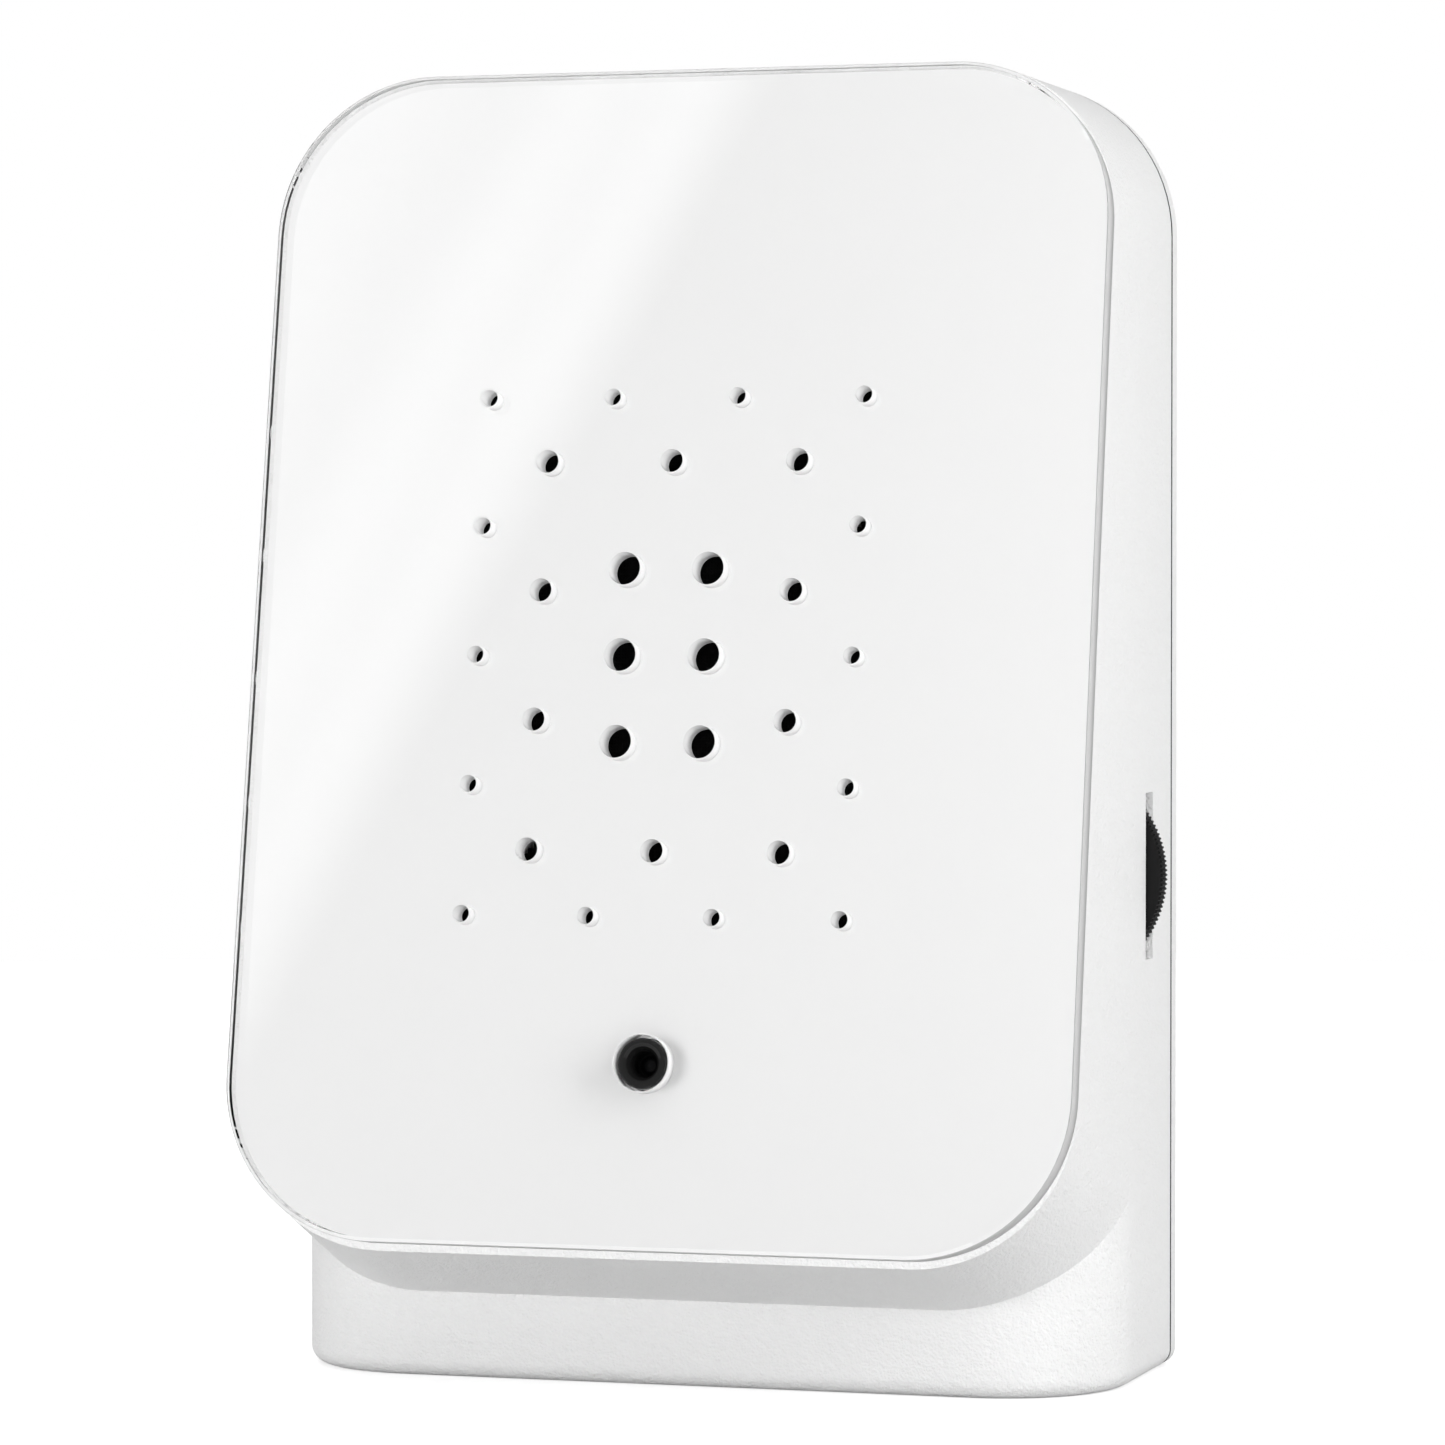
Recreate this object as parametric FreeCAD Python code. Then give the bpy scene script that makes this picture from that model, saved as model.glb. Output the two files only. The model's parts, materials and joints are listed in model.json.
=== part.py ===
"""Wedge-shaped sound box that a motion sensor sets off, run from three AA cells.

Millimetres, +Z up, +X to the right seen from the front, the front faces -Y.
The origin is the middle of the footprint of the whole box, on the surface it stands on.
"""
import FreeCAD, Part
import math
import os

V = FreeCAD.Vector

# ---- driving dimensions ----------------------------------------------------
WIDTH = 100.0
HEIGHT = 152.0
DEPTH = 56.0
FRONT_Y = -DEPTH / 2
BACK_Y = DEPTH / 2

TILT = 9.6                    # degrees the front leans back from upright
FACE_LENGTH = 136.2           # of the front plate, along its slope
FACE_LOW_Z = 17.7             # height of its lower edge
FACE_CORNER_R = 18.5
PLATE_T = 3.3
PRINT_T = 0.2                 # white print behind the clear plate
PLATE_CHAMFER = 0.4
HOLE_CHAMFER = 0.15

WALL = 2.2
CHIN_DROP = 0.437             # fall of the chin's underside for each mm it runs back
FOOT_FRONT_Y = -10.5
FOOT_CORNER_R = 15.5
FOOT_EDGE_R = 2.0
BODY_CORNER_R = 18.5
SEAM_Y = 24.4
SEAM_W = 0.6
SEAM_DEEP = 1.0
COVER_EDGE_R = 0.8
LIP_GAP = 0.2
LIP_T = 1.4
LIP_LONG = 3.0

# grille, measured on the face from its centre
GRID_PITCH = 15.0
GRID_UP = -0.4
INNER_PITCH = 10.0
SMALL_HOLE_R = 1.0
MEDIUM_HOLE_R = 1.35
LARGE_HOLE_R = 1.9
SHELL_HOLE_EXTRA_R = 0.8      # the shell's holes are wider than the plate's

# motion sensor, on the face
SENSOR_UP = -47.0
SENSOR_PLATE_R = 3.25
SENSOR_SHELL_R = 3.05
BEZEL_R = 2.9
BEZEL_FACE_D = 0.8
BEZEL_BORE_R = 1.35
BEZEL_FLANGE_R = 5.6
CAN_R = 4.1

# thumbwheel
WHEEL_R = 13.0
WHEEL_PROUD = 1.9
WHEEL_T = 2.8
WHEEL_X = WIDTH / 2 + WHEEL_PROUD - WHEEL_R
WHEEL_Y = 13.26
WHEEL_Z = 58.6
SLOT_W = 3.6
SLOT_LONG = 19.4
SHAFT_R = 3.0
RUNNING_GAP = 0.05

# loudspeaker: r is the radius, d the depth behind the plate's front face
SPEAKER_R = 25.0
SCREEN_T = 0.3
GASKET_T = 1.2
FLANGE_T = 1.0
CONE_RIM_R = 18.3
CONE_GAP = 0.1

# battery bay, in the back cover
BAY_X = 30.0
BAY_LOW = 82.0
BAY_HIGH = 128.5
BAY_FLOOR_Y = 8.6
TRAY_T = 1.6
CELL_R = 7.15
CELL_LONG = 49.0
CELL_PITCH = 15.35
DOOR_T = 2.0
DOOR_GAP = 0.3
HINGE_R = 1.5
HINGE_PIN_R = 1.0
HINGE_PIN_LONG = 2.0

# wall-hanging keyhole
KEY_R = 4.0
KEY_SLOT_R = 2.0
KEY_Z = 136.4
KEY_RISE = 6.4
POCKET_T = 1.2
POCKET_X = 6.0
POCKET_DEEP = 5.0
POCKET_LOW = KEY_Z - KEY_R - 0.4
POCKET_HIGH = KEY_Z + KEY_RISE + KEY_R + 0.1

# main board
BOARD_Y = 18.0
BOARD_T = 1.6
BOARD_X = 42.0
BOARD_LOW = 22.0
BOARD_HIGH = 78.0

SCREW_R = 1.5

# ---- worked out from them ---------------------------------------------------
TILT_RAD = math.radians(TILT)
FACE_Y = FRONT_Y + FACE_LENGTH / 2 * math.sin(TILT_RAD)
FACE_Z = FACE_LOW_Z + FACE_LENGTH / 2 * math.cos(TILT_RAD)
FACE_PLACE = FreeCAD.Placement(V(0, FACE_Y, FACE_Z), FreeCAD.Rotation(V(1, 0, 0), 90 - TILT))
PLATE_BACK_D = PLATE_T + PRINT_T
WALL_BACK_D = PLATE_BACK_D + 2.0
COVER_FACE_Y = SEAM_Y + SEAM_W
HINGE_Y = BACK_Y - HINGE_R
HINGE_Z = BAY_LOW + DOOR_GAP + HINGE_R
BAY_MID_Z = (BAY_LOW + BAY_HIGH) / 2
CELL_Y = BAY_FLOOR_Y + CELL_R + 0.1
FLANGE_D = WALL_BACK_D + SCREEN_T + GASKET_T
BOARD_POINTS = [(-37.0, 26.0), (37.0, 26.0), (-37.0, 74.0)]
COVER_POINTS = [(-42.0, 10.0), (42.0, 10.0), (-40.0, 136.0), (40.0, 136.0)]
SPEAKER_POINTS = [(sx * 19.5, GRID_UP + sz * 19.5) for sx in (-1, 1) for sz in (-1, 1)]
SENSOR_POINTS = [(-8.0, SENSOR_UP), (8.0, SENSOR_UP)]

nodes = {}


# ---- helpers ---------------------------------------------------------------
def on_face(shape):
    """Moves a shape from the face's own frame (x right, y up the slope, z outward) to its place."""
    moved = shape.copy()
    moved.Placement = FACE_PLACE.multiply(moved.Placement)
    return moved


def face_point(x, up, depth):
    """A point of the part's frame from its place on the face and its depth behind it."""
    return FACE_PLACE.multVec(V(x, up, -depth))


def box(low, high):
    return Part.makeBox(high[0] - low[0], high[1] - low[1], high[2] - low[2], V(*low))


def rod_y(x, z, r, y0, y1):
    return Part.makeCylinder(r, y1 - y0, V(x, y0, z), V(0, 1, 0))


def rod_x(y, z, r, x0, x1):
    return Part.makeCylinder(r, x1 - x0, V(x0, y, z), V(1, 0, 0))


def rod_face(x, up, r, d0, d1):
    """A cylinder square to the face, in the face's own frame."""
    return Part.makeCylinder(r, d1 - d0, V(x, up, -d1), V(0, 0, 1))


def ring_face(up, r_in, r_out, d0, d1):
    return rod_face(0, up, r_out, d0, d1).cut(rod_face(0, up, r_in, d0 - 1, d1 + 1))


def outline(half_w, low, high, r_low, r_high):
    """A closed wire in X and Y: an upright rectangle, its lower and upper corners rounded."""
    corners = [
        (half_w, low, r_low, -90),
        (half_w, high, r_high, 0),
        (-half_w, high, r_high, 90),
        (-half_w, low, r_low, 180),
    ]
    edges = []
    last = None
    first = None
    for x, y, r, start in corners:
        side = 1 if x > 0 else -1
        up = 1 if y == high else -1
        cx = x - side * r
        cy = y - up * r
        points = []
        for step in range(3):
            angle = math.radians(start + 45 * step)
            points.append(V(cx + r * math.cos(angle), cy + r * math.sin(angle), 0))
        if last is not None:
            edges.append(Part.LineSegment(last, points[0]).toShape())
        if r > 0:
            edges.append(Part.Arc(*points).toShape())
        first = first or points[0]
        last = points[2]
    edges.append(Part.LineSegment(last, first).toShape())
    return Part.Wire(edges)


def slab(wire, z0, z1):
    """The solid between two heights over a wire that lies in X and Y."""
    face = Part.Face(wire)
    face.translate(V(0, 0, z0))
    return face.extrude(V(0, 0, z1 - z0))


def upright(wire, y0, y1):
    """The same wire stood up, its Y turned to Z, and the solid between two depths over it."""
    face = Part.Face(wire)
    face.rotate(V(0, 0, 0), V(1, 0, 0), 90)
    face.translate(V(0, y0, 0))
    return face.extrude(V(0, y1 - y0, 0))


def turned(points, up=GRID_UP):
    """A solid of revolution about the face's normal: points are (radius, depth)."""
    corners = [V(r, 0, -d) for r, d in points]
    wire = Part.makePolygon(corners + corners[:1])
    solid = Part.Face(wire).revolve(V(0, 0, 0), V(0, 0, 1), 360)
    solid.translate(V(0, up, 0))
    return solid


def union(shapes):
    first = shapes[0]
    return first.multiFuse(shapes[1:]).removeSplitter() if len(shapes) > 1 else first


def group(shapes):
    return Part.makeCompound(shapes)


def tube(points, r):
    """A lead: straight runs through the points, joined by tangent arcs as large as they allow."""
    points = [V(*p) for p in points]
    edges = []
    start = points[0]
    for before, corner, after in zip(points, points[1:], points[2:]):
        into = (corner - before).normalize()
        out = (after - corner).normalize()
        reach = 0.45 * min((corner - before).Length, (after - corner).Length)
        entry = corner - into * reach
        leave = corner + out * reach
        half_turn = into.getAngle(out) / 2
        middle_way = (out - into).normalize()
        radius = reach / math.tan(half_turn)
        middle = corner + middle_way * (radius / math.cos(half_turn) - radius)
        edges.append(Part.LineSegment(start, entry).toShape())
        edges.append(Part.Arc(entry, middle, leave).toShape())
        start = leave
    edges.append(Part.LineSegment(start, points[-1]).toShape())
    path = Part.Wire(edges)
    disc = Part.Wire(Part.makeCircle(r, points[0], points[1] - points[0]))
    return path.makePipeShell([disc], True, False)


# ---- casing ----------------------------------------------------------------
def grille_holes():
    """Centres on the face and radii: a square ring of small holes, one of medium, six large."""
    holes = []
    for row in range(5):
        for column in range(4):
            if row in (0, 4) or column in (0, 3):
                holes.append(((column - 1.5) * GRID_PITCH, (row - 2) * GRID_PITCH, SMALL_HOLE_R))
    for row in range(4):
        for column in range(3):
            if row in (0, 3) or column in (0, 2):
                holes.append(((column - 1) * GRID_PITCH, (row - 1.5) * GRID_PITCH, MEDIUM_HOLE_R))
    for row in range(3):
        for column in range(2):
            holes.append(((column - 0.5) * INNER_PITCH, (row - 1) * INNER_PITCH, LARGE_HOLE_R))
    return [(x, up + GRID_UP, r) for x, up, r in holes]


def countersunk(x, up, r):
    """A hole through the plate with its front edge broken."""
    bore = rod_face(x, up, r, -1, PLATE_BACK_D + 1)
    edge = Part.makeCone(r + HOLE_CHAMFER, r, HOLE_CHAMFER, V(x, up, 0), V(0, 0, -1))
    return bore.fuse(edge)


def make_plate():
    half = FACE_LENGTH / 2
    plate = slab(outline(WIDTH / 2, -half, half, FACE_CORNER_R, FACE_CORNER_R), -PLATE_T, 0)
    rims = [e for e in plate.Edges if abs(e.BoundBox.ZMax - e.BoundBox.ZMin) < 0.01]
    plate = plate.makeChamfer(PLATE_CHAMFER, rims)
    cutters = [countersunk(x, up, r) for x, up, r in grille_holes()]
    cutters.append(countersunk(0, SENSOR_UP, SENSOR_PLATE_R))
    nodes["front_plate"] = on_face(plate.cut(cutters))

    inset = PLATE_CHAMFER
    back = outline(WIDTH / 2 - inset, inset - half, half - inset,
                   FACE_CORNER_R - inset, FACE_CORNER_R - inset)
    layer = slab(back, -PLATE_BACK_D, -PLATE_T)
    cutters = [rod_face(x, up, r + 0.02, 0, 5) for x, up, r in grille_holes()]
    cutters.append(rod_face(0, SENSOR_UP, SENSOR_PLATE_R + 0.02, 0, 5))
    nodes["plate_print"] = on_face(layer.cut(cutters))


def chin_sweep(inset, start_d):
    """The face's outline, open at the top, run back and down along the chin's underside."""
    half = FACE_LENGTH / 2
    r = FACE_CORNER_R - inset
    wire = outline(WIDTH / 2 - inset, -half + inset * 1.15, half + 30, r, 0.01)
    face = Part.Face(wire)
    face.Placement = FACE_PLACE.multiply(face.Placement)
    run = DEPTH + 5
    solid = face.extrude(V(0, run, -CHIN_DROP * run))
    front = on_face(box((-80, -150, -start_d), (80, 150, 80)))
    return solid.cut(front)


def foot_block(inset, back_y, edge_r):
    """The upright foot: two front corners rounded, and its bottom edges too."""
    r = FOOT_CORNER_R - inset
    high = FACE_LOW_Z + 42
    wire = outline(WIDTH / 2 - inset, FOOT_FRONT_Y + inset, back_y, r, 0.01)
    block = slab(wire, inset, high)
    if edge_r:
        low = [e for e in block.Edges
               if e.BoundBox.ZMax < inset + 0.01 and e.BoundBox.YMin < back_y - 0.1]
        block = block.makeFillet(edge_r, low)
    return block


def body_shape(inset, front_d, back_y, edge_r):
    prism = upright(outline(WIDTH / 2 - inset, inset, HEIGHT - inset, 0.01, BODY_CORNER_R - inset),
                    FRONT_Y - 10, back_y)
    upper = chin_sweep(inset, front_d).common(prism)
    low_cut = box((-80, -60, -20), (80, 60, inset + edge_r))
    upper = upper.cut(low_cut)
    return upper.fuse(foot_block(inset, back_y, edge_r)).removeSplitter()


def wheel_slot():
    """The slot, and behind it the hollow that the rest of the wheel turns in."""
    y0 = WHEEL_Y - SLOT_W / 2
    y1 = WHEEL_Y + SLOT_W / 2
    low = (WIDTH / 2 - WALL - 3, y0, WHEEL_Z - SLOT_LONG / 2)
    high = (WIDTH / 2 + 3, y1, WHEEL_Z + SLOT_LONG / 2)
    return box(low, high).fuse(rod_y(WHEEL_X, WHEEL_Z, WHEEL_R + 0.5, y0, y1))


def make_shell():
    outside = body_shape(0, PLATE_BACK_D, SEAM_Y, FOOT_EDGE_R)
    inside = body_shape(WALL, WALL_BACK_D, SEAM_Y + 10, 0)
    shell = outside.cut(inside)
    posts = [rod_y(x, z, 3.5, FRONT_Y, SEAM_Y) for x, z in COVER_POINTS]
    posts += [rod_y(x, z, 3.2, FRONT_Y, BOARD_Y) for x, z in BOARD_POINTS]
    posts += [on_face(rod_face(x, up, 3.2, PLATE_BACK_D, FLANGE_D + FLANGE_T)) for x, up in SPEAKER_POINTS]
    posts += [on_face(rod_face(x, up, 2.2, PLATE_BACK_D, 12.0)) for x, up in SENSOR_POINTS]
    shell = union([shell] + [p.common(outside) for p in posts])

    cuts = [wheel_slot()]
    for x, up, r in grille_holes():
        cuts.append(on_face(rod_face(x, up, r + SHELL_HOLE_EXTRA_R, 0, WALL_BACK_D + 1)))
    cuts.append(on_face(rod_face(0, SENSOR_UP, SENSOR_SHELL_R, 0, WALL_BACK_D + 1)))
    cuts += [rod_y(x, z, SCREW_R, SEAM_Y - 10, SEAM_Y + 1) for x, z in COVER_POINTS]
    cuts += [rod_y(x, z, 1.25, BOARD_Y - 8, BOARD_Y + 1) for x, z in BOARD_POINTS]
    cuts += [on_face(rod_face(x, up, 1.25, WALL_BACK_D - 1, 30)) for x, up in SPEAKER_POINTS]
    cuts += [on_face(rod_face(x, up, 1.0, WALL_BACK_D, 30)) for x, up in SENSOR_POINTS]
    # The speaker drops in between its posts.
    cuts.append(on_face(rod_face(0, GRID_UP, SPEAKER_R + 0.2, WALL_BACK_D, 30)))
    nodes["front_shell"] = shell.cut(cuts)


def cover_outline(inset):
    low_r = max(FOOT_EDGE_R - inset, 0.3)
    return outline(WIDTH / 2 - inset, inset, HEIGHT - inset, low_r, BODY_CORNER_R - inset)


def make_cover():
    leaf = upright(cover_outline(0), COVER_FACE_Y, BACK_Y)
    rims = [e for e in leaf.Edges if e.BoundBox.YMin > BACK_Y - 0.01]
    leaf = leaf.makeFillet(COVER_EDGE_R, rims)
    step = upright(cover_outline(SEAM_DEEP), SEAM_Y, COVER_FACE_Y)
    lip_out = WALL + LIP_GAP
    lip = upright(cover_outline(lip_out), SEAM_Y - LIP_LONG, SEAM_Y)
    lip = lip.cut(upright(cover_outline(lip_out + LIP_T), SEAM_Y - LIP_LONG - 1, SEAM_Y + 0.1))
    cover = union([leaf, step, lip])

    cuts = [rod_y(0, KEY_Z, KEY_R, SEAM_Y - 1, BACK_Y + 1)]
    cuts.append(rod_y(0, KEY_Z + KEY_RISE, KEY_SLOT_R, SEAM_Y - 1, BACK_Y + 1))
    cuts.append(box((-KEY_SLOT_R, SEAM_Y - 1, KEY_Z), (KEY_SLOT_R, BACK_Y + 1, KEY_Z + KEY_RISE)))
    cuts.append(box((-BAY_X, SEAM_Y - 1, BAY_LOW), (BAY_X, BACK_Y + 1, BAY_HIGH)))
    # Finger scoop above the battery door.
    cuts.append(rod_y(0, BAY_HIGH - 2, 6.5, BACK_Y - 1.2, BACK_Y + 1))
    bore = HINGE_PIN_R + RUNNING_GAP
    reach = BAY_X - DOOR_GAP + HINGE_PIN_LONG + 0.3
    cuts.append(rod_x(HINGE_Y, HINGE_Z, bore, -reach, reach))
    for x, z in COVER_POINTS:
        cuts.append(rod_y(x, z, SCREW_R + 0.2, SEAM_Y - 5, BACK_Y + 1))
        cuts.append(rod_y(x, z, 3.1, BACK_Y - 1.9, BACK_Y + 1))
    nodes["back_cover"] = cover.cut(cuts)

    # The cup behind the keyhole keeps the wall screw off the electronics.
    t = POCKET_T
    low_y = SEAM_Y - POCKET_DEEP
    cup = box((-POCKET_X - t, low_y - t, POCKET_LOW - t), (POCKET_X + t, SEAM_Y, POCKET_HIGH + t))
    nodes["keyhole_cup"] = cup.cut(
        box((-POCKET_X, low_y, POCKET_LOW), (POCKET_X, SEAM_Y + 1, POCKET_HIGH)))


def make_door():
    half_w = BAY_X - DOOR_GAP
    top = BAY_HIGH - DOOR_GAP
    leaf = box((-half_w, BACK_Y - DOOR_T, HINGE_Z), (half_w, BACK_Y, top))
    barrel = rod_x(HINGE_Y, HINGE_Z, HINGE_R, -half_w, half_w)
    reach = half_w + HINGE_PIN_LONG
    pins = rod_x(HINGE_Y, HINGE_Z, HINGE_PIN_R, -reach, reach)
    catch = box((-5, BACK_Y - DOOR_T - 1, top - 2.2), (5, BACK_Y - DOOR_T, top))
    ribs = [box((x - 0.6, BACK_Y - DOOR_T - 1, HINGE_Z + 4), (x + 0.6, BACK_Y - DOOR_T, top - 6))
            for x in (-18, 0, 18)]
    door = union([leaf, barrel, pins, catch] + ribs)
    cuts = [box((side * 6.5 - 0.4, BACK_Y - 4, top - 9), (side * 6.5 + 0.4, BACK_Y + 1, top + 1))
            for side in (-1, 1)]
    cuts += [box((-4.5, BACK_Y - 0.4, top - 3.2 - 1.6 * i), (4.5, BACK_Y + 1, top - 2.4 - 1.6 * i))
             for i in range(4)]
    nodes["battery_door"] = door.cut(cuts)


def make_casing_screws():
    """Pan heads, their cross recesses, and plain shanks as long as the threads."""
    def screw(head_r, head_t, shank_r, long, cross):
        shape = Part.makeCylinder(head_r, head_t).fuse(Part.makeCylinder(shank_r, long, V(0, 0, -long)))
        rim = [e for e in shape.Edges if e.BoundBox.ZMin > head_t - 0.01]
        shape = shape.makeFillet(head_t * 0.45, rim)
        for turn in (0, 90):
            slot = Part.makeBox(cross, cross * 0.28, head_t, V(-cross / 2, -cross * 0.14, head_t * 0.45))
            slot.rotate(V(0, 0, 0), V(0, 0, 1), turn)
            shape = shape.cut(slot)
        return shape

    def put(shape, point, out):
        moved = shape.copy()
        moved.Placement = FreeCAD.Placement(point, FreeCAD.Rotation(V(0, 0, 1), out))
        return moved

    back = V(0, 1, 0)
    inward = face_point(0, 0, 1) - face_point(0, 0, 0)
    cover_screw = screw(2.8, 1.7, SCREW_R, 8.0, 3.0)
    nodes["cover_screws"] = group(
        [put(cover_screw, V(x, BACK_Y - 1.9, z), back) for x, z in COVER_POINTS])
    board_screw = screw(2.4, 1.5, 1.25, 7.0, 2.4)
    nodes["board_screws"] = group(
        [put(board_screw, V(x, BOARD_Y + BOARD_T, z), back) for x, z in BOARD_POINTS])
    washer_d = FLANGE_D + FLANGE_T
    nodes["speaker_washers"] = group(
        [on_face(rod_face(x, up, 3.9, washer_d, washer_d + 0.6).cut(
            rod_face(x, up, 1.3, 0, 30))) for x, up in SPEAKER_POINTS])
    speaker_screw = screw(2.4, 1.4, 1.25, 3.6, 2.2)
    nodes["speaker_screws"] = group(
        [put(speaker_screw, face_point(x, up, washer_d + 0.6), inward) for x, up in SPEAKER_POINTS])
    sensor_screw = screw(1.8, 1.1, 1.0, 6.0, 1.8)
    nodes["sensor_screws"] = group(
        [put(sensor_screw, face_point(x, up, 13.0), inward) for x, up in SENSOR_POINTS])


# ---- loudspeaker -------------------------------------------------------------
def make_speaker():
    half_w = 28.0
    half_h = 35.0
    screen = slab(outline(half_w, GRID_UP - half_h, GRID_UP + half_h, 4, 4),
                  -WALL_BACK_D - SCREEN_T, -WALL_BACK_D)
    holes = [rod_face(x, up, 3.5, 0, 10) for x, up in SPEAKER_POINTS]
    nodes["dust_screen"] = on_face(screen.cut(holes))

    d = FLANGE_D
    nodes["speaker_gasket"] = on_face(ring_face(GRID_UP, 22.5, SPEAKER_R, d - GASKET_T, d))
    basket = turned([
        (21.5, d), (SPEAKER_R, d), (SPEAKER_R, d + FLANGE_T), (23.2, d + FLANGE_T),
        (13.6, d + 7.0), (6.6, d + 7.0), (6.6, d + 6.2), (13.0, d + 6.2), (21.5, d + 1.6),
    ])
    windows = []
    for quarter in range(4):
        window = Part.makeCylinder(21.0, 4.2, V(0, GRID_UP, -d - 5.6), V(0, 0, 1), 52)
        window.rotate(V(0, GRID_UP, 0), V(0, 0, 1), 90 * quarter + 19)
        windows.append(window.cut(rod_face(0, GRID_UP, 14.6, 0, 30)))
    nodes["speaker_frame"] = on_face(basket.cut(windows))

    collar = CONE_RIM_R + CONE_GAP
    nodes["speaker_surround"] = on_face(turned([
        (collar, d - 0.8), (collar + 0.4, d - 0.8), (collar + 0.4, d + 0.7), (collar + 0.9, d + 1.2),
        (collar + 1.6, d + 1.2), (21.2, d + 0.1), (21.2, d - 0.6), (22.3, d - 0.6), (22.3, d),
        (21.45, d), (21.45, d + 0.3), (collar + 1.8, d + 1.6), (collar + 0.7, d + 1.6), (collar, d + 0.9),
    ]))
    nodes["speaker_cone"] = on_face(turned([
        (5.6, d + 4.5), (CONE_RIM_R - 0.6, d - 0.2), (CONE_RIM_R, d - 0.2), (CONE_RIM_R, d + 0.4),
        (CONE_RIM_R - 0.5, d + 0.4), (5.9, d + 5.1), (5.6, d + 5.1),
    ]))
    cap_rise = 1.7
    cap_r = 5.6
    ball_r = (cap_r ** 2 + cap_rise ** 2) / (2 * cap_rise)
    ball_d = d + 4.5 - cap_rise + ball_r
    cap = Part.makeSphere(ball_r, V(0, GRID_UP, -ball_d))
    cap = cap.cut(Part.makeSphere(ball_r - 0.3, V(0, GRID_UP, -ball_d)))
    cap = cap.common(rod_face(0, GRID_UP, cap_r, 0, d + 4.5))
    nodes["speaker_dust_cap"] = on_face(cap)
    nodes["voice_coil"] = on_face(turned([
        (5.3, d + 4.5), (5.6, d + 4.5), (5.6, d + 7.4), (5.95, d + 7.4), (5.95, d + 9.4), (5.3, d + 9.4),
    ]))
    nodes["speaker_spider"] = on_face(turned([
        (5.7, d + 5.8), (7.0, d + 5.8), (8.0, d + 5.4), (9.0, d + 5.8), (10.0, d + 5.4), (11.0, d + 5.8),
        (12.4, d + 5.8), (12.4, d + 6.2), (11.0, d + 6.2), (10.0, d + 5.8),
        (9.0, d + 6.2), (8.0, d + 5.8), (7.0, d + 6.1), (5.7, d + 6.1),
    ]))
    nodes["speaker_top_plate"] = on_face(ring_face(GRID_UP, 6.4, 12.0, d + 7.0, d + 8.5))
    nodes["speaker_magnet"] = on_face(ring_face(GRID_UP, 8.0, 12.4, d + 8.5, d + 12.0))
    pole = rod_face(0, GRID_UP, 4.9, d + 7.0, d + 12.0)
    nodes["speaker_yoke"] = on_face(pole.fuse(rod_face(0, GRID_UP, 12.0, d + 12.0, d + 13.5)))
    tag = box((-25.2, GRID_UP - 5, -d - 3.2), (-23.2, GRID_UP + 5, -d - FLANGE_T))
    nodes["speaker_terminals"] = on_face(tag)


# ---- sensor ------------------------------------------------------------------
def make_sensor():
    lip = 0.5
    front = BEZEL_FACE_D
    back = WALL_BACK_D
    nodes["sensor_bezel"] = on_face(turned([
        (BEZEL_BORE_R, front + 1.7), (BEZEL_BORE_R + 0.25, front + 0.7), (BEZEL_BORE_R + 0.6, front + 0.2),
        (BEZEL_BORE_R + 1.0, front), (BEZEL_R - 0.15, front), (BEZEL_R, front + 0.15),
        (BEZEL_R, back), (BEZEL_FLANGE_R, back), (BEZEL_FLANGE_R, back + 1.2), (CAN_R + lip, back + 1.2),
        (CAN_R + lip, back + 1.8), (BEZEL_BORE_R + 0.9, back + 1.8), (BEZEL_BORE_R + 0.9, front + 3.4),
        (BEZEL_BORE_R, front + 3.4),
    ], SENSOR_UP))
    nodes["sensor_lens"] = on_face(turned([
        (0, front + 2.9), (0.7, front + 3.0), (1.2, front + 3.4), (BEZEL_BORE_R + 0.85, front + 3.45),
        (BEZEL_BORE_R + 0.85, front + 4.2), (0, front + 4.2),
    ], SENSOR_UP))
    nodes["sensor_can"] = on_face(turned([
        (0, back + 2.0), (CAN_R - 0.3, back + 2.0), (CAN_R, back + 2.3), (CAN_R, back + 5.7),
        (CAN_R + 0.5, back + 5.7), (CAN_R + 0.5, 12.0), (0, 12.0),
    ], SENSOR_UP))
    board = box((-11, SENSOR_UP - 8, -13.0), (11, SENSOR_UP + 8, -12.0))
    holes = [rod_face(x, up, 1.1, 5, 20) for x, up in SENSOR_POINTS]
    nodes["sensor_board"] = on_face(board.cut(holes))


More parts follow.
